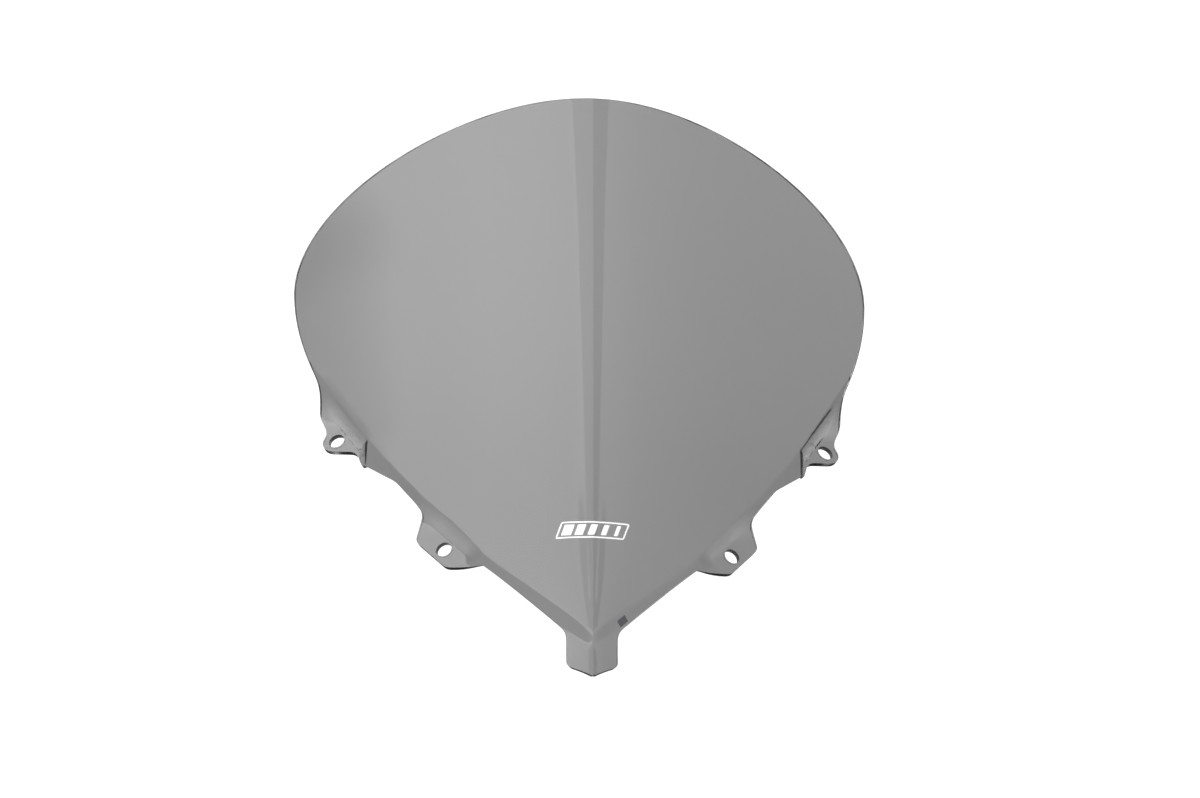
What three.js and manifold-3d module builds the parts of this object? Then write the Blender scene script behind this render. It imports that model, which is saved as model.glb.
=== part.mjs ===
// A sport windscreen for a motorcycle: one sheet of smoked acrylic, cut to an outline, formed hot
// over a plug and drilled, with the vinyl marks that are stuck on its nose.
//
// Millimetres, +Z up, as it sits on the machine: the nose points forward to -Y and the top edge
// leans back to +Y. The origin is on the centre plane, midway between the four fixing holes.
//
// Everything is drawn first on the flat blank, where a point is (across, along): across runs out
// from the centre line and along runs up the spine from the tip of the nose. Forming then gives
// each point of the blank its rise off the plane of the blank.
import * as THREE from 'three';
import { mergeVertices } from 'three/addons/utils/BufferGeometryUtils.js';
import Module from 'manifold-3d';

const { clamp, lerp, smootherstep, smoothstep } = THREE.MathUtils;
const wasm = await Module();
wasm.setup();

// ---- driving dimensions --------------------------------------------------------------------

const SHEET = 3; // thickness of the acrylic
const RAKE = 34; // degrees between the spine and the horizontal
const LENGTH = 388.5; // along the spine, from the tip of the nose to the top edge
const HALF_WIDTH = 176.5; // at the widest place
const WIDEST = 300; // along, where that is
const ORIGIN = new THREE.Vector3(0, 162, 27); // middle of the holes, from the tip of the nose

const SPINE_BOW = 3; // how far the spine bulges off a straight line
const NOSE_SLOPE = 0.52; // how steeply the flanks fall away from the spine at the nose
const FLANK_SLOPE = 1.0; // the same in the middle of the screen
const TOP_SLOPE = 0.9; // and at the top edge
const CREST = 3; // how round the cross-section is on the centre line, where the nose tab starts
const TAB_CREST = 8; // what that gains down to the tip of the tab
const BODY_CREST = 85; // and up to the middle of the screen

const RIDGE_HEIGHT = 0.45; // the faint ridge left along the spine
const RIDGE_SPREAD = 16; // how far it fades out to each side at the top edge
const RIDGE_START = 28; // along, where it starts

const STEP_DEPTH = 5.5; // how far the fixing flange lies under the bubble
const SHOULDER_STEP_DEPTH = 8.5; // the same by the upper holes
const NOSE_STEP_WIDTH = 7; // across the wall between them, over the nose
const NOSE_STEP_END = 5; // across, where that width begins to grow
const SIDE_STEP_START = 30; // across, where it has grown to the next
const STEP_WIDTH = 11; // along the sides
const SHOULDER_STEP_WIDTH = 9; // and by the upper holes
const SHOULDER_START = 150; // along, where the step begins to change to that
const SHOULDER_END = 230;
const WALL_LEAN = 0.6; // how much of the step's slope the thickness follows
const CREASE_ROUND = 4; // of the crease where it turns over the nose

const HOLE = 10; // for rubber well nuts
const LOWER_HOLE = new THREE.Vector2(88.5, 100.85);
const UPPER_HOLE = new THREE.Vector2(150.8, 196.4);
const LOWER_PAD_TILT = new THREE.Vector2(-0.46, -0.21); // rise per millimetre across and along
const UPPER_PAD_TILT = new THREE.Vector2(-0.49, -0.36);
const LOWER_PAD_DEPTH = 8.5; // under the bubble, at the hole
const UPPER_PAD_DEPTH = 12.5;
const LOWER_PAD_WALL = 6.5; // width of the bend above the lower pad
const LOWER_PAD_FOOT = new THREE.Vector2(86, 84); // ends of its side nearest the nose
const LOWER_PAD_HEAD = new THREE.Vector2(74.7, 98.8);
const LOWER_PAD_FADE = 12; // width of the slope that leads into it over that side
const LOWER_PAD_TOP = 112; // along, where it starts to climb back to the flange
const LOWER_PAD_RAMP = 24; // length of that climb
const PAD_WALL = 3; // width of the bend round the upper pad
const PAD_LEDGE = 1.5; // from the crease to that bend
const UPPER_PAD_INNER = 137.5; // across, its side nearest the middle
const UPPER_PAD_TOP = 206; // along, where the upper pad starts to climb back to the flange
const UPPER_PAD_RAMP = 22; // length of that climb

const NOSE_BEND = 17; // along, where the end of the nose tab turns
const NOSE_BEND_SLOPE = -0.25; // towards the outside, per millimetre
const NOSE_BEND_SOFTNESS = 0.7;

const VINYL = 0.2; // thickness of the marks
const VINYL_GAP = 0.3; // clearance between them and the sheet
const MARK_CENTRE = 97.5; // along
const MARK_WIDTH = 42;
const MARK_HEIGHT = 11;
const MARK_LINE = 1; // width of the drawn outline
const MARK_SLANT = 0.35; // how far it leans, per millimetre of height
const MARK_BARS = 5;
const BAR_FILL = 0.8; // of the pitch, in the first bar
const BAR_TAPER = 0.12; // less in each bar after it
const LOOP_PIECES = 20; // along each side of the frame, so that it follows the nose
const LABEL_CENTRE = new THREE.Vector2(18.6, 40.6); // approval label on the flange by the nose
const LABEL_WIDTH = 6.5;
const LABEL_HEIGHT = 3.4;
const LABEL_TURN = 45; // degrees, along the flange

// ---- drawing on the blank ------------------------------------------------------------------

const sampled = (curve, steps) => curve.getPoints(steps);

// The value of one coordinate of a sampled line where its other coordinate is given. The line
// only ever climbs in the given coordinate, or only ever falls.
function readOff(points, given, wanted, value) {
  const rising = points[points.length - 1][given] > points[0][given];
  const line = rising ? points : [...points].reverse();
  const next = line.findIndex((point) => point[given] > value);
  if (next === 0) return line[0][wanted];
  if (next < 0) return line[line.length - 1][wanted];
  const before = line[next - 1];
  const after = line[next];
  const share = (value - before[given]) / (after[given] - before[given]);
  return lerp(before[wanted], after[wanted], share);
}

// One side of the outline, from the tip of the nose up to the shoulder and over to the middle.
const side = new THREE.Path();
side.moveTo(1.5, 2.5);
side.lineTo(13.4, 9.3);
side.quadraticCurveTo(15.9, 10.9, 15.9, 14.5);
side.lineTo(15.9, 29);
side.quadraticCurveTo(16, 33.5, 19.2, 36.7);
side.lineTo(66, 83);
side.lineTo(84.5, 86.8);
side.quadraticCurveTo(87, 87.1, 89, 89);
side.lineTo(103, 107);
side.quadraticCurveTo(105.3, 110, 104.6, 113);
side.lineTo(101.6, 124);
side.quadraticCurveTo(101, 127, 102.8, 130);
side.lineTo(116, 150.8);
side.quadraticCurveTo(118.2, 154, 121, 156.6);
side.lineTo(136.3, 172.6);
side.lineTo(138.2, 180.5);
side.quadraticCurveTo(139.4, 184.8, 143, 186);
side.lineTo(153.5, 188.6);
side.quadraticCurveTo(159, 190.5, 159.2, 195.8);
side.bezierCurveTo(159.2, 199.3, 156.8, 200.5, 156.8, 204);
side.bezierCurveTo(156.8, 210, 160.8, 213, 160.8, 220);
side.bezierCurveTo(160.8, 233, 163.4, 237, 166.5, 246);
side.bezierCurveTo(171, 259, HALF_WIDTH, 278, HALF_WIDTH, WIDEST);

const brow = new THREE.CubicBezierCurve(
  new THREE.Vector2(HALF_WIDTH, WIDEST),
  new THREE.Vector2(HALF_WIDTH, WIDEST + 49),
  new THREE.Vector2(106, LENGTH),
  new THREE.Vector2(0, LENGTH),
);
const SHOULDER = 350; // along, where the side of the grid ends and its top begins

const sidePoints = sampled(side, 12);
const browPoints = sampled(brow, 60);
const outlineHalf = (along) =>
  along < WIDEST ? readOff(sidePoints, 'y', 'x', along) : readOff(browPoints, 'y', 'x', along);
const browAlong = (across) => readOff(browPoints, 'x', 'y', across);

// The crease where the bubble steps down to the flange.
const crease = new THREE.SplineCurve([
  new THREE.Vector2(0, 28),
  new THREE.Vector2(20, 48.5),
  new THREE.Vector2(61, 86),
  new THREE.Vector2(90, 122),
  new THREE.Vector2(119, 164),
  new THREE.Vector2(136, 192),
  new THREE.Vector2(168.5, 252),
]);
const creasePoints = sampled(crease, 80);
const creaseAlong = (across) => readOff(creasePoints, 'x', 'y', across);
const creaseAcross = (along) => readOff(creasePoints, 'y', 'x', along);

// ---- the formed shape ----------------------------------------------------------------------

const flankSlope = (along) =>
  NOSE_SLOPE +
  (FLANK_SLOPE - NOSE_SLOPE) * smootherstep(along, 0, 200) +
  (TOP_SLOPE - FLANK_SLOPE) * smootherstep(along, 280, 400);

const crest = (along) =>
  CREST +
  TAB_CREST * smoothstep(creasePoints[0].y - along, -5, 25) +
  BODY_CREST * (1 - Math.exp(-((along / 90) ** 2)));

// The smooth bubble, before any step is pressed into it.
function bubble(across, along) {
  const part = along / LENGTH;
  const bow = 4 * SPINE_BOW * part * (1 - part);
  const round = crest(along);
  return bow - flankSlope(along) * (Math.hypot(across, round) - round);
}

function ridge(across, along) {
  const part = along / LENGTH;
  const start = smoothstep(along, RIDGE_START, 2 * RIDGE_START);
  const spread = RIDGE_SPREAD * Math.max(part, RIDGE_START / LENGTH);
  return RIDGE_HEIGHT * 4 * part * (1 - part) * start * Math.exp(-((across / spread) ** 2));
}

// How far a point of the blank lies outside the crease, measured square to the crease.
function pastCrease(across, along) {
  const reach = 1;
  const out = Math.hypot(across, CREASE_ROUND);
  const climb = (creaseAlong(out + reach) - creaseAlong(out - reach)) / (2 * reach);
  return (creaseAlong(out) - along) / Math.hypot(1, climb);
}

// How far a point lies inside the line from a to b, positive on its right-hand side.
function rightOf(across, along, a, b) {
  return ((across - a.x) * (b.y - a.y) - (along - a.y) * (b.x - a.x)) / a.distanceTo(b);
}

// 1 on a pad, 0 off it, and in between on the wall round it.
function lowerPad(across, along) {
  const inner = rightOf(across, along, LOWER_PAD_FOOT, LOWER_PAD_HEAD);
  const upper = smoothstep(pastCrease(across, along), 0, LOWER_PAD_WALL);
  const climb = 1 - smoothstep(along, LOWER_PAD_TOP, LOWER_PAD_TOP + LOWER_PAD_RAMP);
  return smoothstep(inner, -LOWER_PAD_FADE, 0) * upper * climb;
}

function upperPad(across, along) {
  const inner = across - UPPER_PAD_INNER;
  const upper = pastCrease(across, along) - PAD_LEDGE - PAD_WALL;
  const end = UPPER_PAD_TOP + UPPER_PAD_RAMP;
  const climb = 1 - smoothstep(along, UPPER_PAD_TOP, end);
  return smoothstep(Math.min(inner, upper), -PAD_WALL, 0) * climb;
}

function padPlane(across, along, hole, depth, tilt) {
  const middle = bubble(hole.x, hole.y) - depth;
  return middle + tilt.x * (across - hole.x) + tilt.y * (along - hole.y);
}

const padNormal = (tilt) => new THREE.Vector3(-tilt.x, -tilt.y, 1).normalize();

// How far the flange has dropped under the bubble.
function step(out, along) {
  const shoulder = smoothstep(along, SHOULDER_START, SHOULDER_END);
  const lower = lerp(NOSE_STEP_WIDTH, STEP_WIDTH, smoothstep(out, NOSE_STEP_END, SIDE_STEP_START));
  const width = lerp(lower, SHOULDER_STEP_WIDTH, shoulder);
  const depth = lerp(STEP_DEPTH, SHOULDER_STEP_DEPTH, shoulder);
  return depth * smoothstep(pastCrease(out, along), 0, width);
}

// The outside of the finished sheet.
function outside(across, along) {
  const out = Math.abs(across);
  const soft = NOSE_BEND_SOFTNESS * Math.log1p(Math.exp((NOSE_BEND - along) / NOSE_BEND_SOFTNESS));
  const form = bubble(out, along) + ridge(out, along) - step(out, along);
  const rise = form - NOSE_BEND_SLOPE * soft;
  const low = padPlane(out, along, LOWER_HOLE, LOWER_PAD_DEPTH, LOWER_PAD_TILT);
  const high = padPlane(out, along, UPPER_HOLE, UPPER_PAD_DEPTH, UPPER_PAD_TILT);
  return lerp(lerp(rise, low, lowerPad(out, along)), high, upperPad(out, along));
}

// The direction of the sheet's thickness: square to the bubble, turned part of the way with the
// wall of the step, and square to each pad on it.
function thicknessAxis(across, along) {
  const out = Math.abs(across);
  const reach = 0.5;
  const eased = (x, y) => bubble(x, y) - WALL_LEAN * step(x, y);
  const fallOut = (eased(out + reach, along) - eased(out - reach, along)) / (2 * reach);
  const fallUp = (eased(out, along + reach) - eased(out, along - reach)) / (2 * reach);
  const axis = new THREE.Vector3(-fallOut, -fallUp, 1).normalize();
  axis.lerp(padNormal(LOWER_PAD_TILT), lowerPad(out, along)).normalize();
  axis.lerp(padNormal(UPPER_PAD_TILT), upperPad(out, along)).normalize();
  if (across < 0) axis.x *= -1;
  return axis;
}

const formed = (across, along, lift) =>
  new THREE.Vector3(across, along, outside(across, along)).addScaledVector(
    thicknessAxis(across, along),
    lift,
  );

// A closed plate from a grid of blank points, between two lifts off the sheet's outside. A looped
// grid joins its last row to its first, as round a frame.
function formedPlate(rows, lower, upper, looped = false) {
  const columns = rows[0].length;
  const layer = rows.length * columns;
  const positions = [];
  for (const lift of [lower, upper]) {
    for (const [across, along] of rows.flat()) positions.push(...formed(across, along, lift));
  }
  const base = (row, column) => (row % rows.length) * columns + column;
  const top = (row, column) => layer + base(row, column);
  const faces = [];
  const quad = (a, b, c, d) => faces.push(a, b, c, a, c, d);
  const end = looped ? rows.length : rows.length - 1;
  const last = columns - 1;
  for (let row = 0; row < end; row += 1) {
    const up = row + 1;
    for (let column = 0; column < last; column += 1) {
      const right = column + 1;
      quad(top(row, column), top(row, right), top(up, right), top(up, column));
      quad(base(row, column), base(up, column), base(up, right), base(row, right));
    }
    quad(base(row, 0), top(row, 0), top(up, 0), base(up, 0));
    quad(base(row, last), base(up, last), top(up, last), top(row, last));
  }
  for (let column = 0; column < last && !looped; column += 1) {
    const right = column + 1;
    quad(base(0, column), base(0, right), top(0, right), top(0, column));
    quad(base(end, column), top(end, column), top(end, right), base(end, right));
  }
  const geometry = new THREE.BufferGeometry();
  geometry.setAttribute('position', new THREE.Float32BufferAttribute(positions, 3));
  geometry.setIndex(faces);
  return geometry;
}

// ---- the sheet -----------------------------------------------------------------------------

// Places up the side where the grid has a row, as [end of the stretch, rows in it].
const STRETCHES = [
  [9.3, 2],
  [14.5, 2],
  [17, 1],
  [29, 2],
  [36.7, 2],
  [48, 2],
  [83, 5],
  [89, 3],
  [107, 6],
  [113, 2],
  [130, 5],
  [157, 4],
  [172.6, 3],
  [180.5, 3],
  [186, 3],
  [188.6, 1],
  [204, 6],
  [228, 5],
  [252, 4],
  [300, 3],
  [SHOULDER, 4],
];

function stations() {
  const places = [sidePoints[0].y];
  for (const [end, count] of STRETCHES) {
    const start = places[places.length - 1];
    for (let step = 1; step <= count; step += 1) {
      places.push(start + ((end - start) * step) / count);
    }
  }
  return places;
}

// Distances out from the centre line where the grid has a column, at one place up the side.
function columnsAt(along) {
  const edge = outlineHalf(along);
  const limit = clamp(creaseAcross(along), edge * 0.4, edge - 3);
  const foot = Math.min(STEP_WIDTH, (edge - limit) / 2);
  const ridgeEdge = Math.min((RIDGE_SPREAD * 1.5 * along) / LENGTH, limit * 0.4);
  const out = [0, ridgeEdge / 2, ridgeEdge];
  for (const share of [0.2, 0.4, 0.6, 0.8, 1]) out.push(ridgeEdge + (limit - ridgeEdge) * share);
  for (const share of [0.25, 0.5, 0.75, 1]) out.push(limit + foot * share);
  const start = limit + foot;
  for (const share of [0.25, 0.5, 0.75, 1]) out.push(start + (edge - start) * share);
  return out;
}

function sheetRows() {
  const arch = LENGTH - SHOULDER;
  const widest = outlineHalf(SHOULDER);
  return stations().map((along) => {
    const half = columnsAt(along);
    const edge = half[half.length - 1];
    const both = [...half.slice(1).reverse().map((out) => -out), ...half];
    const share = smoothstep(along, 240, SHOULDER);
    return both.map((across) => {
      const bulge = (browAlong((Math.abs(across) / edge) * widest) - SHOULDER) / arch;
      return [across, along + share * arch * bulge];
    });
  });
}

function toSolid(geometry) {
  const bare = geometry.index ? geometry.clone() : geometry;
  bare.deleteAttribute('normal');
  bare.deleteAttribute('uv');
  const merged = mergeVertices(bare, 1e-4);
  const vertProperties = new Float32Array(merged.attributes.position.array);
  const triVerts = new Uint32Array(merged.index.array);
  return new wasm.Manifold(new wasm.Mesh({ numProp: 3, vertProperties, triVerts }));
}

function toGeometry(solid) {
  const { vertProperties, triVerts } = solid.getMesh();
  const geometry = new THREE.BufferGeometry();
  geometry.setAttribute('position', new THREE.BufferAttribute(vertProperties, 3));
  geometry.setIndex(new THREE.BufferAttribute(triVerts, 1));
  return geometry;
}

// A drill square to the pad, centred on the hole.
function drill(hole, tilt, hand) {
  const normal = padNormal(tilt);
  normal.x *= hand;
  const bit = new THREE.CylinderGeometry(HOLE / 2, HOLE / 2, SHEET * 4, 32);
  const turn = new THREE.Quaternion().setFromUnitVectors(new THREE.Vector3(0, 1, 0), normal);
  bit.applyQuaternion(turn);
  bit.translate(hand * hole.x, hole.y, outside(hole.x, hole.y));
  return toSolid(bit);
}

function drilledSheet() {
  let sheet = toSolid(formedPlate(sheetRows(), -SHEET, 0));
  for (const hand of [-1, 1]) {
    sheet = sheet.subtract(drill(LOWER_HOLE, LOWER_PAD_TILT, hand));
    sheet = sheet.subtract(drill(UPPER_HOLE, UPPER_PAD_TILT, hand));
  }
  return toGeometry(sheet);
}

// ---- the marks -----------------------------------------------------------------------------

// A point of the mark, which leans like italic writing.
const leaning = (x, y) => [x + MARK_SLANT * y, MARK_CENTRE + y];

const laidVinyl = (rows, looped) => formedPlate(rows, VINYL_GAP, VINYL_GAP + VINYL, looped);

// Points round a leaning box, the same number on each side.
function boxLoop(width, height) {
  const corners = [
    [-width / 2, -height / 2],
    [width / 2, -height / 2],
    [width / 2, height / 2],
    [-width / 2, height / 2],
  ];
  const points = [];
  corners.forEach(([x, y], index) => {
    const [endX, endY] = corners[(index + 1) % corners.length];
    for (let piece = 0; piece < LOOP_PIECES; piece += 1) {
      const share = piece / LOOP_PIECES;
      points.push(leaning(lerp(x, endX, share), lerp(y, endY, share)));
    }
  });
  return points;
}

function frameVinyl() {
  const outer = boxLoop(MARK_WIDTH, MARK_HEIGHT);
  const inner = boxLoop(MARK_WIDTH - 2 * MARK_LINE, MARK_HEIGHT - 2 * MARK_LINE);
  return laidVinyl(
    outer.map((point, index) => [inner[index], point]),
    true,
  );
}

// Three points each way over a box about the origin, passed through a placing function.
function boxGrid(width, height, place) {
  const shares = [-0.5, 0, 0.5];
  return shares.map((up) => shares.map((right) => place(right * width, up * height)));
}

function barVinyl(index) {
  const pitch = (MARK_WIDTH - 4 * MARK_LINE) / MARK_BARS;
  const centre = (index - (MARK_BARS - 1) / 2) * pitch;
  const width = pitch * (BAR_FILL - BAR_TAPER * index);
  const height = MARK_HEIGHT - 4 * MARK_LINE;
  return laidVinyl(boxGrid(width, height, (x, y) => leaning(centre + x, y)));
}

function labelFilm() {
  const turn = THREE.MathUtils.degToRad(LABEL_TURN);
  const place = (x, y) => [
    LABEL_CENTRE.x + x * Math.cos(turn) - y * Math.sin(turn),
    LABEL_CENTRE.y + x * Math.sin(turn) + y * Math.cos(turn),
  ];
  return laidVinyl(boxGrid(LABEL_WIDTH, LABEL_HEIGHT, place));
}

// ---- materials and assembly ----------------------------------------------------------------

const smokedAcrylic = () =>
  new THREE.MeshStandardMaterial({
    color: 0x4a4c4e,
    roughness: 0.05,
    metalness: 0,
    transparent: true,
    opacity: 0.55,
  });

const whiteVinyl = () =>
  new THREE.MeshStandardMaterial({ color: 0xf2f2f0, roughness: 0.45, metalness: 0 });

const greyFilm = () =>
  new THREE.MeshStandardMaterial({ color: 0x55585a, roughness: 0.4, metalness: 0 });

const screen = new THREE.Group();
screen.rotation.x = THREE.MathUtils.degToRad(RAKE);
screen.position.copy(ORIGIN).negate();

function add(name, geometry, material) {
  const mesh = new THREE.Mesh(geometry, material);
  mesh.name = name;
  screen.add(mesh);
}

add('windscreen_sheet', drilledSheet(), smokedAcrylic());
add('mark_frame', frameVinyl(), whiteVinyl());
for (let bar = 0; bar < MARK_BARS; bar += 1) {
  add(`mark_bar_${bar + 1}`, barVinyl(bar), whiteVinyl());
}
add('approval_label', labelFilm(), greyFilm());

const windscreen = new THREE.Group();
windscreen.add(screen);
export default windscreen;
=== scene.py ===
# %% [markdown]
# # A smoked sport windscreen for a motorcycle
#
# The real part is one sheet of smoked acrylic. It is cut to an outline, heated until it is soft,
# drawn over a plug, trimmed and drilled, and a small vinyl mark is stuck on its nose. This lesson
# follows the same order: a flat blank, then the press, then the drill, then the polished rim.
#
# First the CAD model comes in as a fixed frame. Its box is kept, because nothing made here may
# grow outside it.

import math

import bpy
import numpy as np
from mathutils import Matrix, Vector


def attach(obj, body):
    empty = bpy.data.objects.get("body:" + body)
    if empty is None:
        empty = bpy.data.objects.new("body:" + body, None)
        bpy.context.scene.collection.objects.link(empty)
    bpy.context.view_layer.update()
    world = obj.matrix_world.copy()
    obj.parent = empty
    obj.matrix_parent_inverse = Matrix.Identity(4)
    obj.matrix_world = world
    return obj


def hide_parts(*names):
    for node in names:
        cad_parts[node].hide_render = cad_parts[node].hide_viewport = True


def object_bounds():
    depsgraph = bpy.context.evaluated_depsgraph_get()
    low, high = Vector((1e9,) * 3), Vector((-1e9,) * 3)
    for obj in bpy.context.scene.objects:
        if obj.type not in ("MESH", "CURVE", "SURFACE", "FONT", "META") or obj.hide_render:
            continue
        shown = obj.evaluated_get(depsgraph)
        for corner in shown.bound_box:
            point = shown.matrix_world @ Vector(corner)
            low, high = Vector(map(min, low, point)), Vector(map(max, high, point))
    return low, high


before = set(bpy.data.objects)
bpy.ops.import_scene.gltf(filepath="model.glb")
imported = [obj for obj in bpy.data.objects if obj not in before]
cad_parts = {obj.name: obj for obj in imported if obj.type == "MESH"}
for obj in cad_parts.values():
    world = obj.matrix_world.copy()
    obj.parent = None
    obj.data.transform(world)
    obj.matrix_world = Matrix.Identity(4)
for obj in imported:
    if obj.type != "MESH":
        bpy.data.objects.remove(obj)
cad_low, cad_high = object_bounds()
print("CAD box in metres", [round(v, 4) for v in (*cad_low, *cad_high)])

MM = 0.001

# %% [markdown]
# ## The camera
#
# The part is seen from the front and above, almost without perspective, as a long lens sees it.
# A camera is easiest to aim with three directions: its right, its up and its back. They start
# from a level camera in front of the part, raised by a few tens of degrees, then turned a little
# to one side and rolled a little, because the part doesn't stand quite square to the lens.


# %% Aim the camera
def degrees(value):
    return math.radians(value)


CAMERA_RISE = degrees(32)  # above the horizon
CAMERA_TURN = degrees(3.7)  # to the part's own right-hand side
CAMERA_ROLL = degrees(1.4)
CAMERA_DISTANCE = 20.0  # far off behind a long lens, so that near and far show at one scale
FRAME_WIDTH = 0.7362  # of the world, across the picture, at the middle of the part
SENSOR = 36.0
AIM_RIGHT, AIM_UP, AIM_IN = 0.00417, 0.16994, 0.1  # from the tip of the nose
FAR_ENOUGH = 60  # past the part and the floor behind it

right = Vector((1, 0, 0))
up = Vector((0, math.sin(CAMERA_RISE), math.cos(CAMERA_RISE)))
back = Vector((0, -math.cos(CAMERA_RISE), math.sin(CAMERA_RISE)))
turned_back = back * math.cos(CAMERA_TURN) - right * math.sin(CAMERA_TURN)
turned_right = right * math.cos(CAMERA_TURN) + back * math.sin(CAMERA_TURN)
rolled_right = turned_right * math.cos(CAMERA_ROLL) + up * math.sin(CAMERA_ROLL)
rolled_up = up * math.cos(CAMERA_ROLL) - turned_right * math.sin(CAMERA_ROLL)

nose_tip = Vector((0, -0.162, -0.027))
aim = nose_tip + rolled_right * AIM_RIGHT + rolled_up * AIM_UP - turned_back * AIM_IN

camera_data = bpy.data.cameras.new("camera")
camera_data.sensor_width = SENSOR
camera_data.lens = SENSOR * CAMERA_DISTANCE / FRAME_WIDTH
camera_data.clip_end = FAR_ENOUGH
camera = bpy.data.objects.new("camera", camera_data)
bpy.context.scene.collection.objects.link(camera)
camera.rotation_mode = "QUATERNION"
aimed = Matrix((rolled_right, rolled_up, turned_back)).transposed()
camera.rotation_quaternion = aimed.to_quaternion()
camera.location = aim + turned_back * CAMERA_DISTANCE
bpy.context.scene.camera = camera
print("lens", round(camera_data.lens), "mm")

# %% [markdown]
# ## Floor and light
#
# Clear plastic is seen by what is behind it and by what it mirrors, so the studio matters more
# than for an opaque part. The wide pale floor is a light table: it glows evenly, and that is the
# light that comes up through the sheet. Rays that only mirror off the sheet don't see the glow.
#
# The room is a ring of soft panels over the part, from its one side to its other. The bright
# panels on the left lift the left flank, the right flank mirrors the dimmer ones, and the dark
# gap just to the right of straight up draws the line along the spine.


# %% Floor
def plain_material(name, colour, roughness):
    material = bpy.data.materials.new(name)
    material.use_nodes = True
    surface = material.node_tree.nodes["Principled BSDF"]
    surface.inputs["Base Color"].default_value = (*colour, 1)
    surface.inputs["Roughness"].default_value = roughness
    return material


def deselect_all():
    bpy.ops.object.select_all(action="DESELECT")


FLOOR_HEIGHT = cad_low.z - 0.5 * MM
FLOOR_SIZE = 60
TABLE_GREY, TABLE_ROUGHNESS = 0.2, 0.6
TABLE_GLOW, MIRRORED_GLOW = 1.0, 0.0
deselect_all()
bpy.ops.mesh.primitive_plane_add(size=FLOOR_SIZE, location=(0, 0, FLOOR_HEIGHT))
floor = bpy.context.object
floor.name = "floor"
table = plain_material("light_table", [TABLE_GREY] * 3, TABLE_ROUGHNESS)
table_nodes, table_links = table.node_tree.nodes, table.node_tree.links
table_surface = table_nodes["Principled BSDF"]
table_surface.inputs["Emission Color"].default_value = (1, 1, 1, 1)
path = table_nodes.new("ShaderNodeLightPath")
glow = table_nodes.new("ShaderNodeMapRange")
glow.inputs["To Min"].default_value = TABLE_GLOW
glow.inputs["To Max"].default_value = MIRRORED_GLOW
mirrored = table_nodes.new("ShaderNodeMath")
mirrored.operation = "SUBTRACT"
table_links.new(path.outputs["Is Glossy Ray"], mirrored.inputs[0])
table_links.new(path.outputs["Is Transmission Ray"], mirrored.inputs[1])
table_links.new(mirrored.outputs["Value"], glow.inputs["Value"])
table_links.new(glow.outputs["Result"], table_surface.inputs["Emission Strength"])
floor.data.materials.append(table)
print("floor at", round(FLOOR_HEIGHT, 4))

# %% Room
scene = bpy.context.scene
scene.view_settings.view_transform = "Standard"
PANELS = [
    # (angle from straight up, towards +X, in degrees, and brightness there)
    (-90, 0.3),
    (-69, 0.4),
    (-63, 2.6),
    (-50, 2.8),
    (-26, 2.4),
    (-13, 2.1),
    (-8.5, 2.4),
    (-8.0, 1.2),
    (5.0, 1.05),
    (5.5, 0.0),
    (15.0, 0.0),
    (15.5, 1.0),
    (35, 0.7),
    (75, 0.6),
    (90, 0.3),
]
BRIGHTEST = 3.0

world = bpy.data.worlds.new("studio")
scene.world = world
world.use_nodes = True
nodes, links = world.node_tree.nodes, world.node_tree.links
place = nodes.new("ShaderNodeTexCoord")
parts = nodes.new("ShaderNodeSeparateXYZ")
links.new(place.outputs["Generated"], parts.inputs["Vector"])
angle = nodes.new("ShaderNodeMath")
angle.operation = "ARCTAN2"
links.new(parts.outputs["X"], angle.inputs[0])
links.new(parts.outputs["Z"], angle.inputs[1])
share = nodes.new("ShaderNodeMapRange")
share.inputs["From Min"].default_value = -math.pi / 2
share.inputs["From Max"].default_value = math.pi / 2
links.new(angle.outputs["Value"], share.inputs["Value"])
ramp = nodes.new("ShaderNodeValToRGB")
stops = ramp.color_ramp.elements
for index, (direction, brightness) in enumerate(PANELS):
    stop = stops[index] if index < 2 else stops.new(1)
    stop.position = (direction + 90) / 180
    stop.color = (*[brightness / BRIGHTEST] * 3, 1)
links.new(share.outputs["Result"], ramp.inputs["Fac"])
background = nodes["Background"]
background.inputs["Strength"].default_value = BRIGHTEST
links.new(ramp.outputs["Color"], background.inputs["Color"])
print("room panels", len(PANELS))

# %% [markdown]
# ## The drawing of the blank
#
# A point of the blank is (across, along): across runs out from the centre line, and along runs
# up the spine from the tip of the nose. Half of the outline is drawn with straight runs and
# curves, and the other half mirrors it.

# %% Sizes of the part
SHEET = 3 * MM
RAKE = degrees(34)
LENGTH = 388.5 * MM
SHOULDER = 350 * MM  # along, where the rows of the blank begin to bow up to the brow
ORIGIN = Vector((0, 162 * MM, 27 * MM))

STEP_DEPTH, SHOULDER_STEP_DEPTH = 5.5 * MM, 8.5 * MM
SHOULDER_START, SHOULDER_END = 150 * MM, 230 * MM
NOSE_STEP_WIDTH, STEP_WIDTH, SHOULDER_STEP_WIDTH = 7 * MM, 11 * MM, 9 * MM
NOSE_STEP_END, SIDE_STEP_START = 5 * MM, 30 * MM
CREASE_ROUND = 4 * MM
HOLE = 10 * MM
LOWER_HOLE = (88.5 * MM, 100.85 * MM)
UPPER_HOLE = (150.8 * MM, 196.4 * MM)


# %% Curves
def bezier(points, steps=24):
    """A curve through the first and last of its two, three or four points."""
    points = np.array(points)
    share = np.linspace(0, 1, steps + 1)[:, None]
    order = len(points) - 1
    total = np.zeros((steps + 1, 2))
    for index, point in enumerate(points):
        weight = math.comb(order, index) * share**index * (1 - share) ** (order - index)
        total += weight * point
    return total


def joined(start, *runs):
    """A line of curves, each given by its further points."""
    line = [np.array([start])]
    for run in runs:
        line.append(bezier([line[-1][-1], *run])[1:])
    return np.concatenate(line) * MM


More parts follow.
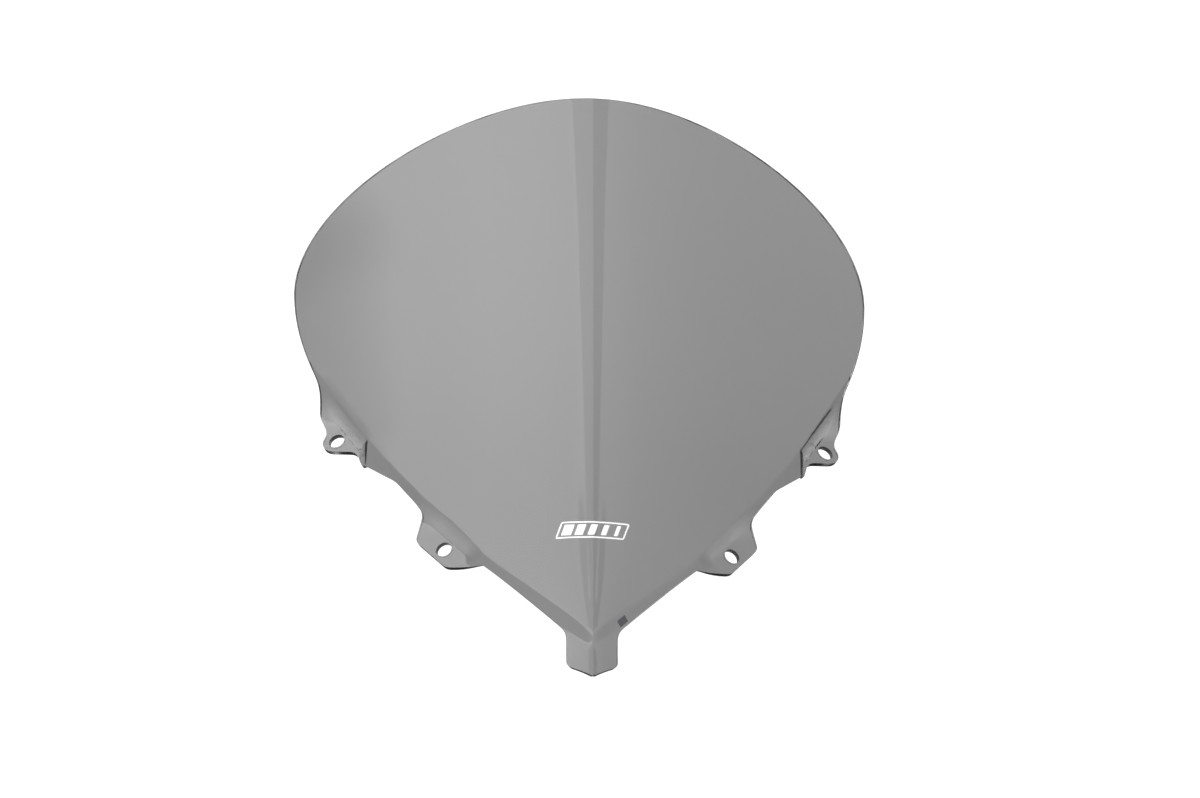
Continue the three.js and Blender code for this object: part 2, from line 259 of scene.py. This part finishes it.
def spline(points, steps=20):
    """A smooth line through all of its points."""
    points = np.array(points, float)
    padded = np.concatenate([points[:1], points, points[-1:]])
    line = []
    for before, start, end, after in zip(padded, padded[1:], padded[2:], padded[3:]):
        share = np.linspace(0, 1, steps, endpoint=False)[:, None]
        lead, trail = (end - before) / 2, (after - start) / 2
        cubic = (2 * start - 2 * end + lead + trail) * share**3
        square = (-3 * start + 3 * end - 2 * lead - trail) * share**2
        line.append(cubic + square + lead * share + start)
    return np.concatenate([*line, points[-1:]]) * MM


side = joined(
    (1.5, 2.5),
    [(13.4, 9.3)],
    [(15.9, 10.9), (15.9, 14.5)],
    [(15.9, 29)],
    [(16, 33.5), (19.2, 36.7)],
    [(66, 83)],
    [(84.5, 86.8)],
    [(87, 87.1), (89, 89)],
    [(103, 107)],
    [(105.3, 110), (104.6, 113)],
    [(101.6, 124)],
    [(101, 127), (102.8, 130)],
    [(116, 150.8)],
    [(118.2, 154), (121, 156.6)],
    [(136.3, 172.6)],
    [(138.2, 180.5)],
    [(139.4, 184.8), (143, 186)],
    [(153.5, 188.6)],
    [(159, 190.5), (159.2, 195.8)],
    [(159.2, 199.3), (156.8, 200.5), (156.8, 204)],
    [(156.8, 210), (160.8, 213), (160.8, 220)],
    [(160.8, 233), (163.4, 237), (166.5, 246)],
    [(171, 259), (176.5, 278), (176.5, 300)],
)
brow = joined((176.5, 300), [(176.5, 349), (106, 388.5), (0, 388.5)])
crease = spline([(0, 28), (20, 48.5), (61, 86), (90, 122), (119, 164), (136, 192), (168.5, 252)])
print("outline points", len(side) + len(brow), "crease points", len(crease))


def half_width_at(along):
    outline = np.concatenate([side, brow[1:]])
    return np.interp(along, outline[:, 1], outline[:, 0])


def brow_along(across):
    return np.interp(across, brow[::-1, 0], brow[::-1, 1])


def crease_along(across):
    return np.interp(across, crease[:, 0], crease[:, 1])


def crease_across(along):
    return np.interp(along, crease[:, 1], crease[:, 0])


# %% [markdown]
# ## The press
#
# Forming gives each point of the flat blank a rise. It is a sum of plain shapes: a bubble that
# is round on the centre line and falls away in straight flanks, a faint ridge along the spine, a
# step down to the fixing flange past the crease, a bend in the nose tab, and four flat pads that
# take over near the holes. All of them work on whole arrays of points at once.


# %% Easing helpers
def ease(value, low, high):
    share = np.clip((value - low) / (high - low), 0, 1)
    return share * share * (3 - 2 * share)


def soft_ease(value, low, high):
    share = np.clip((value - low) / (high - low), 0, 1)
    return share**3 * (share * (share * 6 - 15) + 10)


def mix(first, second, share):
    return first + (second - first) * share


# %% The bubble and its ridge
SPINE_BOW = 3 * MM
NOSE_SLOPE, FLANK_SLOPE, TOP_SLOPE = 0.52, 1.0, 0.9
FLANK_FULL = 200 * MM  # along, where the slope of the flanks has grown from the nose's
TOP_START, TOP_END = 280 * MM, 400 * MM
CREST, TAB_CREST, BODY_CREST = 3 * MM, 8 * MM, 85 * MM
TAB_CREST_START, TAB_CREST_FULL = -5 * MM, 25 * MM  # down the tab from the crease
BODY_CREST_REACH = 90 * MM
RIDGE_HEIGHT = 0.45 * MM
RIDGE_SPREAD = 16 * MM
RIDGE_START = 28 * MM


def bubble(across, along):
    part = along / LENGTH
    slope = mix(NOSE_SLOPE, FLANK_SLOPE, soft_ease(along, 0, FLANK_FULL))
    slope = slope + (TOP_SLOPE - FLANK_SLOPE) * soft_ease(along, TOP_START, TOP_END)
    crest = CREST + TAB_CREST * ease(crease[0, 1] - along, TAB_CREST_START, TAB_CREST_FULL)
    crest = crest + BODY_CREST * (1 - np.exp(-((along / BODY_CREST_REACH) ** 2)))
    return 4 * SPINE_BOW * part * (1 - part) - slope * (np.hypot(across, crest) - crest)


def ridge(across, along):
    part = along / LENGTH
    height = RIDGE_HEIGHT * 4 * part * (1 - part) * ease(along, RIDGE_START, 2 * RIDGE_START)
    spread = RIDGE_SPREAD * np.maximum(part, RIDGE_START / LENGTH)
    return height * np.exp(-((across / spread) ** 2))


# %% The step and the pads
LOWER_PAD_TILT, UPPER_PAD_TILT = (-0.46, -0.21), (-0.49, -0.36)
LOWER_PAD_DEPTH, UPPER_PAD_DEPTH = 8.5 * MM, 12.5 * MM
LOWER_PAD_FOOT, LOWER_PAD_HEAD = (86, 84), (74.7, 98.8)  # its side nearest the nose, in mm
LOWER_PAD_WALL, LOWER_PAD_FADE = 6.5 * MM, 12 * MM
LOWER_PAD_TOP, LOWER_PAD_RAMP = 112 * MM, 24 * MM
PAD_WALL, PAD_LEDGE = 3 * MM, 1.5 * MM
UPPER_PAD_INNER = 137.5 * MM
UPPER_PAD_TOP, UPPER_PAD_RAMP = 206 * MM, 22 * MM
NOSE_BEND, NOSE_BEND_SLOPE, NOSE_BEND_SOFTNESS = 17 * MM, -0.25, 0.7 * MM
WALL_LEAN = 0.6  # how much of the step's slope the thickness follows


def past_crease(across, along):
    """How far a place lies outside the crease, measured square to the crease."""
    reach = 1 * MM
    out = np.hypot(across, CREASE_ROUND)
    climb = (crease_along(out + reach) - crease_along(out - reach)) / (2 * reach)
    return (crease_along(out) - along) / np.hypot(1, climb)


def right_of(across, along, start, end):
    """How far a place lies to the right of a line whose ends are given in millimetres."""
    (ax, ay), (bx, by) = np.array(start) * MM, np.array(end) * MM
    run = math.hypot(bx - ax, by - ay)
    return ((across - ax) * (by - ay) - (along - ay) * (bx - ax)) / run


def lower_pad(across, along):
    inner = right_of(across, along, LOWER_PAD_FOOT, LOWER_PAD_HEAD)
    upper = ease(past_crease(across, along), 0, LOWER_PAD_WALL)
    climb = 1 - ease(along, LOWER_PAD_TOP, LOWER_PAD_TOP + LOWER_PAD_RAMP)
    return ease(inner, -LOWER_PAD_FADE, 0) * upper * climb


def upper_pad(across, along):
    inner = across - UPPER_PAD_INNER
    upper = past_crease(across, along) - PAD_LEDGE - PAD_WALL
    climb = 1 - ease(along, UPPER_PAD_TOP, UPPER_PAD_TOP + UPPER_PAD_RAMP)
    return ease(np.minimum(inner, upper), -PAD_WALL, 0) * climb


def pad_plane(across, along, hole, depth, tilt):
    middle = bubble(*hole) - depth
    return middle + tilt[0] * (across - hole[0]) + tilt[1] * (along - hole[1])


# %% The whole outside face, and the direction of its thickness
def step(out, along):
    shoulder = ease(along, SHOULDER_START, SHOULDER_END)
    width = mix(NOSE_STEP_WIDTH, STEP_WIDTH, ease(out, NOSE_STEP_END, SIDE_STEP_START))
    width = mix(width, SHOULDER_STEP_WIDTH, shoulder)
    depth = mix(STEP_DEPTH, SHOULDER_STEP_DEPTH, shoulder)
    return depth * ease(past_crease(out, along), 0, width)


def outside(across, along):
    out = np.abs(across)
    bend = NOSE_BEND_SOFTNESS * np.log1p(np.exp((NOSE_BEND - along) / NOSE_BEND_SOFTNESS))
    rise = bubble(out, along) + ridge(out, along) - step(out, along) - NOSE_BEND_SLOPE * bend
    low = pad_plane(out, along, LOWER_HOLE, LOWER_PAD_DEPTH, LOWER_PAD_TILT)
    high = pad_plane(out, along, UPPER_HOLE, UPPER_PAD_DEPTH, UPPER_PAD_TILT)
    return mix(mix(rise, low, lower_pad(out, along)), high, upper_pad(out, along))


def unit(vectors):
    return vectors / np.linalg.norm(vectors, axis=-1, keepdims=True)


def pad_normal(tilt):
    return unit(np.array([-tilt[0], -tilt[1], 1.0]))


def eased_shape(across, along):
    return bubble(across, along) - WALL_LEAN * step(across, along)


def thickness_axis(across, along):
    out, reach = np.abs(across), 0.5 * MM
    fall_out = (eased_shape(out + reach, along) - eased_shape(out - reach, along)) / (2 * reach)
    fall_up = (eased_shape(out, along + reach) - eased_shape(out, along - reach)) / (2 * reach)
    axis = unit(np.stack([-fall_out, -fall_up, np.ones_like(out)], axis=-1))
    axis = unit(mix(axis, pad_normal(LOWER_PAD_TILT), lower_pad(out, along)[..., None]))
    axis = unit(mix(axis, pad_normal(UPPER_PAD_TILT), upper_pad(out, along)[..., None]))
    axis[..., 0] *= np.where(across < 0, -1, 1)
    return axis


def to_world(points):
    """From blank axes (across, along, rise) to the part's own frame."""
    tilt = np.array(Matrix.Rotation(RAKE, 3, "X"))
    return points @ tilt.T - np.array(ORIGIN)


def formed(across, along, lift):
    rise = outside(across, along)
    points = np.stack([across, along, rise], axis=-1)
    return to_world(points + thickness_axis(across, along) * lift[..., None])


def press(piece):
    """Forms a flat piece: its x and y are places on the blank, its z is its lift."""
    mesh = piece.data
    flat = np.empty(len(mesh.vertices) * 3)
    mesh.vertices.foreach_get("co", flat)
    flat = flat.reshape(-1, 3)
    mesh.vertices.foreach_set("co", formed(flat[:, 0], flat[:, 1], flat[:, 2]).ravel())
    mesh.update()


# %% [markdown]
# ## The blank
#
# A grid primitive gives the flat sheet its faces. Each row of the grid is moved to a height up
# the side of the outline and stretched to the width there, and its columns gather where the step
# will be, so that the bends get many small faces and the bubble gets few large ones. Extruding
# the grid down by the thickness closes it into a plate.

# %% Rows and columns
ROW_STRETCHES = [
    # (end of the stretch, distance between rows), in millimetres up the side
    (9.3, 0.9),
    (29, 1.0),
    (48, 0.9),
    (83, 1.3),
    (130, 0.8),
    (170, 1.3),
    (232, 0.75),
    (256, 1.3),
    (300, 3),
    (350, 3.2),
]


def row_places():
    places = [side[0, 1]]
    for end, gap in ROW_STRETCHES:
        start = places[-1]
        count = max(1, round((end * MM - start) / (gap * MM)))
        places.extend(np.linspace(start, end * MM, count + 1)[1:])
    return np.array(places)


LEAST_FLANGE = 3 * MM
LEAST_BUBBLE, MOST_RIDGE = 0.4, 0.4  # of the width up to the edge and up to the crease
RIDGE_COLUMNS, BUBBLE_COLUMNS, STEP_COLUMNS, FLANGE_COLUMNS = 9, 24, 12, 21


def column_places(along):
    """Distances from the centre line to the edge, for one row."""
    edge = half_width_at(along)
    limit = np.clip(crease_across(along), edge * LEAST_BUBBLE, edge - LEAST_FLANGE)
    foot = min(STEP_WIDTH, (edge - limit) / 2)
    ridge_edge = min(RIDGE_SPREAD * 2 * along / LENGTH, limit * MOST_RIDGE)
    parts = [
        np.linspace(0, ridge_edge, RIDGE_COLUMNS + 1)[:-1],
        np.linspace(ridge_edge, limit, BUBBLE_COLUMNS + 1)[:-1],
        np.linspace(limit, limit + foot, STEP_COLUMNS + 1)[:-1],
        np.linspace(limit + foot, edge, FLANGE_COLUMNS + 1),
    ]
    return np.concatenate(parts)


BOW_START = 240 * MM


def blank_points():
    rows = row_places()
    arch = LENGTH - SHOULDER
    shoulder_width = half_width_at(SHOULDER)
    points = []
    for along in rows:
        half = column_places(along)
        across = np.concatenate([-half[:0:-1], half])
        bulge = (brow_along(np.abs(across) / half[-1] * shoulder_width) - SHOULDER) / arch
        share = ease(along, BOW_START, SHOULDER)
        points.append(np.stack([across, along + share * arch * bulge], axis=-1))
    return np.array(points)


blank = blank_points()
row_count, column_count = blank.shape[:2]
print("blank grid", row_count, "rows by", column_count, "columns")

# %% Grid to plate
deselect_all()
bpy.ops.mesh.primitive_grid_add(
    x_subdivisions=column_count - 1, y_subdivisions=row_count - 1, size=LENGTH
)
sheet = bpy.context.object
sheet.name = "formed_sheet"
placed = np.zeros((row_count * column_count, 3))
placed[:, :2] = blank.reshape(-1, 2)
sheet.data.vertices.foreach_set("co", placed.ravel())
bpy.ops.object.mode_set(mode="EDIT")
bpy.ops.mesh.select_all(action="SELECT")
bpy.ops.mesh.extrude_region_move(TRANSFORM_OT_translate={"value": (0, 0, -SHEET)})
bpy.ops.mesh.select_all(action="SELECT")
bpy.ops.mesh.normals_make_consistent(inside=False)
bpy.ops.object.mode_set(mode="OBJECT")
print("plate has", len(sheet.data.polygons), "faces")

# %% Press the plate
press(sheet)
print("formed", [round(v, 4) for v in sheet.dimensions])

# %% [markdown]
# ## Drilling and the polished rim
#
# The holes are drilled square to their pads after forming. Four cylinders are joined into one
# drill and taken out with a Boolean modifier. A narrow Bevel modifier then breaks every sharp
# edge, as flame polishing does, and gives the rims the highlight that thick plastic has.


# %% Drill
DRILL_SIDES = 96
DRILL_LENGTH = 4 * SHEET


def hole_axis(hole, tilt, hand):
    """The middle of a hole on the outside face, and the direction square to its pad."""
    centre = to_world(np.array([hand * hole[0], hole[1], float(outside(*hole))]))
    normal = pad_normal(tilt) * np.array([hand, 1, 1])
    return centre, Matrix.Rotation(RAKE, 3, "X") @ Vector(normal)


def drill_bit(hole, tilt, hand):
    centre, normal = hole_axis(hole, tilt, hand)
    bpy.ops.mesh.primitive_cylinder_add(
        vertices=DRILL_SIDES,
        radius=HOLE / 2,
        depth=DRILL_LENGTH,
        location=centre,
        rotation=normal.to_track_quat("Z", "Y").to_euler(),
    )
    return bpy.context.object


def apply_modifier(piece, kind, **settings):
    modifier = piece.modifiers.new(kind.lower(), kind)
    for key, value in settings.items():
        setattr(modifier, key, value)
    deselect_all()
    bpy.context.view_layer.objects.active = piece
    piece.select_set(True)
    bpy.ops.object.modifier_apply(modifier=modifier.name)


deselect_all()
drilled = ((LOWER_HOLE, LOWER_PAD_TILT), (UPPER_HOLE, UPPER_PAD_TILT))
bits = [drill_bit(hole, tilt, hand) for hole, tilt in drilled for hand in (-1, 1)]
deselect_all()
for bit in bits:
    bit.select_set(True)
bpy.context.view_layer.objects.active = bits[0]
bpy.ops.object.join()
drill = bpy.context.object
apply_modifier(sheet, "BOOLEAN", operation="DIFFERENCE", solver="EXACT", object=drill)
bpy.data.objects.remove(drill)
print("drilled sheet has", len(sheet.data.polygons), "faces")

# %% Break the edges
RIM_BEVEL, RIM_SEGMENTS = 0.45 * MM, 3
SHARPEST_FORMED, SHARPEST_SMOOTH = degrees(55), degrees(50)
apply_modifier(
    sheet,
    "BEVEL",
    width=RIM_BEVEL,
    segments=RIM_SEGMENTS,
    limit_method="ANGLE",
    angle_limit=SHARPEST_FORMED,
)
deselect_all()
sheet.select_set(True)
bpy.context.view_layer.objects.active = sheet
bpy.ops.object.shade_smooth_by_angle(angle=SHARPEST_SMOOTH)
print("rim broken,", len(sheet.data.polygons), "faces")

# %% [markdown]
# ## The marks
#
# Vinyl marks are cut flat and laid on the curved nose, so they are made flat on the blank too
# and then go through the same press, lifted just off the outside face.

# %% Vinyl on the nose
VINYL = 0.1 * MM
VINYL_GAP = 0.02 * MM
MARK_CENTRE = 97.5 * MM
MARK_WIDTH, MARK_HEIGHT, MARK_LINE = 42 * MM, 11 * MM, 1 * MM
MARK_SLANT = 0.35
MARK_BARS = 5
BAR_FILL, BAR_TAPER = 0.8, 0.12
MARK_CORNER, BAR_CORNER = 1.2 * MM, 0.5 * MM
CUTS_ACROSS, CUTS_UP = 48, 12  # small enough faces to follow the bubble
CUT_EDGE_SHARP = degrees(40)


def flat_patch(name, width, height, corner):
    """A rounded flat box on the blank, in edit mode, with all of it selected."""
    deselect_all()
    bpy.ops.mesh.primitive_plane_add(size=1)
    patch = bpy.context.object
    patch.name = name
    bpy.ops.object.mode_set(mode="EDIT")
    bpy.ops.mesh.select_all(action="SELECT")
    bpy.ops.transform.resize(value=(width, height, 1))
    bpy.ops.mesh.bevel(offset=corner, segments=4, affect="VERTICES")
    bpy.ops.mesh.select_all(action="SELECT")
    return patch


def cut_small(direction, extent, count):
    """Bisects everything in the open mesh at even distances along one direction."""
    direction = Vector(direction)
    for index in range(1, count):
        bpy.ops.mesh.select_all(action="SELECT")
        place = direction * extent * (index / count - 0.5)
        bpy.ops.mesh.bisect(plane_co=place, plane_no=direction)


def lay(patch, place):
    """Cuts the flat patch to small faces, thickens it, moves it and presses it."""
    cut_small((1, 0, 0), MARK_WIDTH, CUTS_ACROSS)
    cut_small((0, 1, 0), MARK_HEIGHT, CUTS_UP)
    bpy.ops.object.mode_set(mode="OBJECT")
    for vertex in patch.data.vertices:
        vertex.co.x, vertex.co.y = place(vertex.co.x, vertex.co.y)
    bpy.ops.object.mode_set(mode="EDIT")
    bpy.ops.mesh.select_all(action="SELECT")
    bpy.ops.mesh.extrude_region_move(TRANSFORM_OT_translate={"value": (0, 0, VINYL)})
    bpy.ops.mesh.select_all(action="SELECT")
    bpy.ops.transform.translate(value=(0, 0, VINYL_GAP))
    bpy.ops.mesh.normals_make_consistent(inside=False)
    bpy.ops.object.mode_set(mode="OBJECT")
    press(patch)
    bpy.ops.object.shade_smooth_by_angle(angle=CUT_EDGE_SHARP)
    return patch


def leaning(x, y):
    return x + MARK_SLANT * y, MARK_CENTRE + y


mark_frame = flat_patch("vinyl_frame", MARK_WIDTH, MARK_HEIGHT, MARK_CORNER)
bpy.ops.mesh.inset(thickness=MARK_LINE)
bpy.ops.mesh.delete(type="FACE")
lay(mark_frame, leaning)

bars = []
pitch = (MARK_WIDTH - 4 * MARK_LINE) / MARK_BARS
for index in range(MARK_BARS):
    width = pitch * (BAR_FILL - BAR_TAPER * index)
    centre = (index - (MARK_BARS - 1) / 2) * pitch
    bar = flat_patch(f"vinyl_bar_{index + 1}", width, MARK_HEIGHT - 4 * MARK_LINE, BAR_CORNER)
    bars.append(lay(bar, lambda x, y, centre=centre: leaning(x + centre, y)))

LABEL_WIDTH, LABEL_HEIGHT, LABEL_CORNER = 6.5 * MM, 3.4 * MM, 0.4 * MM
LABEL_CENTRE = (18.6 * MM, 40.6 * MM)
LABEL_TURN = degrees(45)


def beside_nose(x, y):
    across = LABEL_CENTRE[0] + x * math.cos(LABEL_TURN) - y * math.sin(LABEL_TURN)
    return across, LABEL_CENTRE[1] + x * math.sin(LABEL_TURN) + y * math.cos(LABEL_TURN)


label = flat_patch("label_film", LABEL_WIDTH, LABEL_HEIGHT, LABEL_CORNER)
lay(label, beside_nose)
print("marks made:", 1 + len(bars), "and one label")

# %% [markdown]
# ## Surface detail
#
# No real surface is quite even. Three small node groups make the unevenness once, and the
# finishes share them. Each takes the scale of its noise, in waves per metre, and puts out a mask
# or a height between 0 and 1, which a finish then turns into colour, roughness or bump.


# %% Groups of nodes
def new_group(name, inputs, outputs):
    """An empty group with number sockets, as (group, its input node, its output node)."""
    group = bpy.data.node_groups.new(name, "ShaderNodeTree")
    for title, value in inputs.items():
        socket = group.interface.new_socket(title, in_out="INPUT", socket_type="NodeSocketFloat")
        socket.default_value = value
    for title in outputs:
        group.interface.new_socket(title, in_out="OUTPUT", socket_type="NodeSocketFloat")
    return group, group.nodes.new("NodeGroupInput"), group.nodes.new("NodeGroupOutput")


def noise_in(group, scale, detail, stretch=(1, 1, 1)):
    """Noise on the piece's own coordinates, finer or coarser by a scale socket."""
    nodes, links = group.nodes, group.links
    place = nodes.new("ShaderNodeTexCoord")
    mapping = nodes.new("ShaderNodeMapping")
    mapping.inputs["Scale"].default_value = stretch
    links.new(place.outputs["Object"], mapping.inputs["Vector"])
    noise = nodes.new("ShaderNodeTexNoise")
    noise.inputs["Detail"].default_value = detail
    links.new(mapping.outputs["Vector"], noise.inputs["Vector"])
    links.new(scale, noise.inputs["Scale"])
    return noise.outputs["Fac"]


def stretched_range(group, value, low, high):
    """0 below low, 1 above high."""
    spread = group.nodes.new("ShaderNodeMapRange")
    spread.inputs["From Min"].default_value = low
    spread.inputs["From Max"].default_value = high
    group.links.new(value, spread.inputs["Value"])
    return spread.outputs["Result"]


# %% Grain, ripple and rubbing
GRAIN_SCALE, RIPPLE_SCALE, WIPE_SCALE = 900, 60, 70
GRAIN_LOW, GRAIN_HIGH = 0.3, 0.7
RUB_LOW, RUB_HIGH = 0.6, 0.75  # only the peaks of the noise count as rubbed
ALONG_THE_SPINE = (12, 1, 1)  # noise squeezed across the part, so that it runs along it
grain, start, end = new_group("fine_grain", {"Scale": GRAIN_SCALE}, ["Mask"])
speckle = noise_in(grain, start.outputs["Scale"], detail=4)
grain.links.new(stretched_range(grain, speckle, GRAIN_LOW, GRAIN_HIGH), end.inputs["Mask"])

ripple, start, end = new_group("forming_ripple", {"Scale": RIPPLE_SCALE}, ["Height"])
ripple.links.new(noise_in(ripple, start.outputs["Scale"], detail=1), end.inputs["Height"])

rubbing, start, end = new_group("rub_marks", {"Scale": WIPE_SCALE}, ["Mask"])
streaks = noise_in(rubbing, start.outputs["Scale"], detail=5, stretch=ALONG_THE_SPINE)
rubbing.links.new(stretched_range(rubbing, streaks, RUB_LOW, RUB_HIGH), end.inputs["Mask"])
print("groups", [group.name for group in (grain, ripple, rubbing)])

# %% [markdown]
# ## Smoked acrylic
#
# The tint of smoked acrylic is in its depth, so it is set as a volume that takes light away along
# the way. A ray straight through keeps about a quarter of its light, and one that runs along the
# sheet to a cut edge keeps almost none, which is why the rims look black.
#
# The face is clear and glossy, with the faintest wipe marks. Where the sheet was drawn down to
# the flange it is slightly rippled, and the drilled walls of the holes are left matt. Two
# attributes on the mesh say where: drawn runs from 0 on the bubble to 1 on the flange, and drilled
# is 1 on the faces inside a hole.


# %% Where the sheet is drawn and drilled
def blank_places(points):
    """World points back to (across, along) on the blank."""
    tilt = np.array(Matrix.Rotation(RAKE, 3, "X"))
    flat = (points + np.array(ORIGIN)) @ tilt
    return np.abs(flat[:, 0]), flat[:, 1]


DRAWN_FROM, DRAWN_TO = -6 * MM, 4 * MM  # past the crease
corners = np.empty(len(sheet.data.vertices) * 3)
sheet.data.vertices.foreach_get("co", corners)
across, along = blank_places(corners.reshape(-1, 3))
drawn = sheet.data.attributes.new("drawn", "FLOAT", "POINT")
drawn.data.foreach_set("value", ease(past_crease(across, along), DRAWN_FROM, DRAWN_TO))

centres = np.empty(len(sheet.data.polygons) * 3)
sheet.data.polygons.foreach_get("center", centres)
centres = centres.reshape(-1, 3)
inside_hole = np.zeros(len(centres), bool)
WALL_REACH = HOLE / 2 + 0.1 * MM
for hole, tilt in drilled:
    for hand in (-1, 1):
        centre, normal = hole_axis(hole, tilt, hand)
        offset = centres - np.array(centre)
        rise = offset @ np.array(normal)
        aside = np.linalg.norm(offset - rise[:, None] * np.array(normal), axis=1)
        inside_hole |= (aside < WALL_REACH) & (np.abs(rise) < 2 * SHEET)
wall_mask = sheet.data.attributes.new("drilled", "FLOAT", "FACE")
wall_mask.data.foreach_set("value", inside_hole.astype(float))
print("drilled faces", int(inside_hole.sum()))


# %% Mixing helpers
def attribute_value(tree, name):
    reader = tree.nodes.new("ShaderNodeAttribute")
    reader.attribute_name = name
    return reader.outputs["Fac"]


def use_group(tree, group, scale):
    user = tree.nodes.new("ShaderNodeGroup")
    user.node_tree = group
    user.inputs["Scale"].default_value = scale
    return user.outputs[0]


def scaled_sum(tree, value, factor, base):
    """value * factor + base, where each is a number or a socket."""
    node = tree.nodes.new("ShaderNodeMath")
    node.operation = "MULTIPLY_ADD"
    for socket, given in zip(node.inputs, (value, factor, base)):
        if isinstance(given, (int, float)):
            socket.default_value = given
        else:
            tree.links.new(given, socket)
    return node.outputs["Value"]


def add_bump(tree, height, depth):
    bump = tree.nodes.new("ShaderNodeBump")
    bump.inputs["Strength"].default_value = 1.0
    bump.inputs["Distance"].default_value = depth
    tree.links.new(height, bump.inputs["Height"])
    tree.links.new(bump.outputs["Normal"], tree.nodes["Principled BSDF"].inputs["Normal"])


# %% Acrylic
ACRYLIC_IOR = 1.49
TINT_PER_METRE = 450.0
FACE_ROUGHNESS, WIPED_ROUGHNESS, DRILLED_ROUGHNESS = 0.004, 0.03, 0.6
RIPPLE_DEPTH = 0.09 * MM
RIPPLE_EVERYWHERE = 0.04  # of the ripple's depth, also on the bubble


def smoked_acrylic():
    material = plain_material("smoked_acrylic", (1, 1, 1), FACE_ROUGHNESS)
    tree = material.node_tree
    surface = tree.nodes["Principled BSDF"]
    surface.inputs["IOR"].default_value = ACRYLIC_IOR
    surface.inputs["Transmission Weight"].default_value = 1.0

    wiped = scaled_sum(tree, use_group(tree, rubbing, WIPE_SCALE), WIPED_ROUGHNESS, FACE_ROUGHNESS)
    matt = scaled_sum(tree, attribute_value(tree, "drilled"), DRILLED_ROUGHNESS, wiped)
    tree.links.new(matt, surface.inputs["Roughness"])

    reach = scaled_sum(tree, attribute_value(tree, "drawn"), 1.0, RIPPLE_EVERYWHERE)
    height = scaled_sum(tree, use_group(tree, ripple, RIPPLE_SCALE), reach, 0.0)
    add_bump(tree, height, RIPPLE_DEPTH)

    tint = tree.nodes.new("ShaderNodeVolumeAbsorption")
    tint.inputs["Color"].default_value = (0, 0, 0, 1)
    tint.inputs["Density"].default_value = TINT_PER_METRE
    tree.links.new(tint.outputs["Volume"], tree.nodes["Material Output"].inputs["Volume"])
    return material


sheet.data.materials.clear()
sheet.data.materials.append(smoked_acrylic())
print("acrylic on", sheet.name)

# %% [markdown]
# ## Vinyl and film
#
# Both are thin plastic with a fine orange-peel skin. The white vinyl is a little uneven in its
# white. The grey film carries rows of fine print, which are left as plain stripes.


# %% Film finishes
SKIN_SCALE, SKIN_DEPTH = 2500, 0.01 * MM
RUB_SCALE, RUBBED_ROUGHNESS = 200, 0.2
BREAK_SCALE = 2 * GRAIN_SCALE
FILM_ROUGHNESS = 0.35
STRIPE_PITCH = 0.85 * MM


def film(name, dark, light, pattern):
    """Film whose colour runs from dark to light by a pattern made in its own tree."""
    material = plain_material(name, light, FILM_ROUGHNESS)
    tree = material.node_tree
    surface = tree.nodes["Principled BSDF"]
    shade = tree.nodes.new("ShaderNodeMix")
    shade.data_type = "RGBA"
    shade.inputs["A"].default_value = (*dark, 1)
    shade.inputs["B"].default_value = (*light, 1)
    tree.links.new(pattern(tree), shade.inputs["Factor"])
    tree.links.new(shade.outputs["Result"], surface.inputs["Base Color"])
    worn = scaled_sum(tree, use_group(tree, rubbing, RUB_SCALE), RUBBED_ROUGHNESS, FILM_ROUGHNESS)
    tree.links.new(worn, surface.inputs["Roughness"])
    add_bump(tree, use_group(tree, grain, SKIN_SCALE), SKIN_DEPTH)
    return material


def speckled(tree):
    return use_group(tree, grain, GRAIN_SCALE)


STRIPE_ACROSS = Matrix.Rotation(RAKE, 3, "X") @ Vector(
    (-math.sin(LABEL_TURN), math.cos(LABEL_TURN), 0)
)


def striped(tree):
    place = tree.nodes.new("ShaderNodeTexCoord")
    along_label = tree.nodes.new("ShaderNodeVectorMath")
    along_label.operation = "DOT_PRODUCT"
    along_label.inputs[1].default_value = STRIPE_ACROSS
    tree.links.new(place.outputs["Object"], along_label.inputs[0])
    wave = tree.nodes.new("ShaderNodeMath")
    wave.operation = "SINE"
    turns = scaled_sum(tree, along_label.outputs["Value"], math.tau / STRIPE_PITCH, 0.0)
    tree.links.new(turns, wave.inputs[0])
    # the wave swings from -1 to 1, so half of it about a half is a mask, which the grain breaks up
    broken = scaled_sum(tree, use_group(tree, grain, BREAK_SCALE), 0.5, -0.25)
    return scaled_sum(tree, wave.outputs["Value"], 0.5, broken)


white_vinyl = film("white_vinyl", (0.78, 0.78, 0.77), (0.88, 0.88, 0.87), speckled)
grey_film = film("grey_film", (0.07, 0.07, 0.075), (0.16, 0.16, 0.165), striped)
for piece in (mark_frame, *bars):
    piece.data.materials.clear()
    piece.data.materials.append(white_vinyl)
label.data.materials.clear()
label.data.materials.append(grey_film)
print("vinyl on", 1 + len(bars), "pieces, film on", label.name)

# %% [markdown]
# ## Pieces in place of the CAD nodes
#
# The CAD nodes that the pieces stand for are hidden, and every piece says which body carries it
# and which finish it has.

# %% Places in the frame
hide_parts("windscreen_sheet")
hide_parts("mark_frame")
for index, bar in enumerate(bars):
    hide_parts(f"mark_bar_{index + 1}")
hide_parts("approval_label")
for piece in (sheet, mark_frame, *bars, label):
    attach(piece, "root")
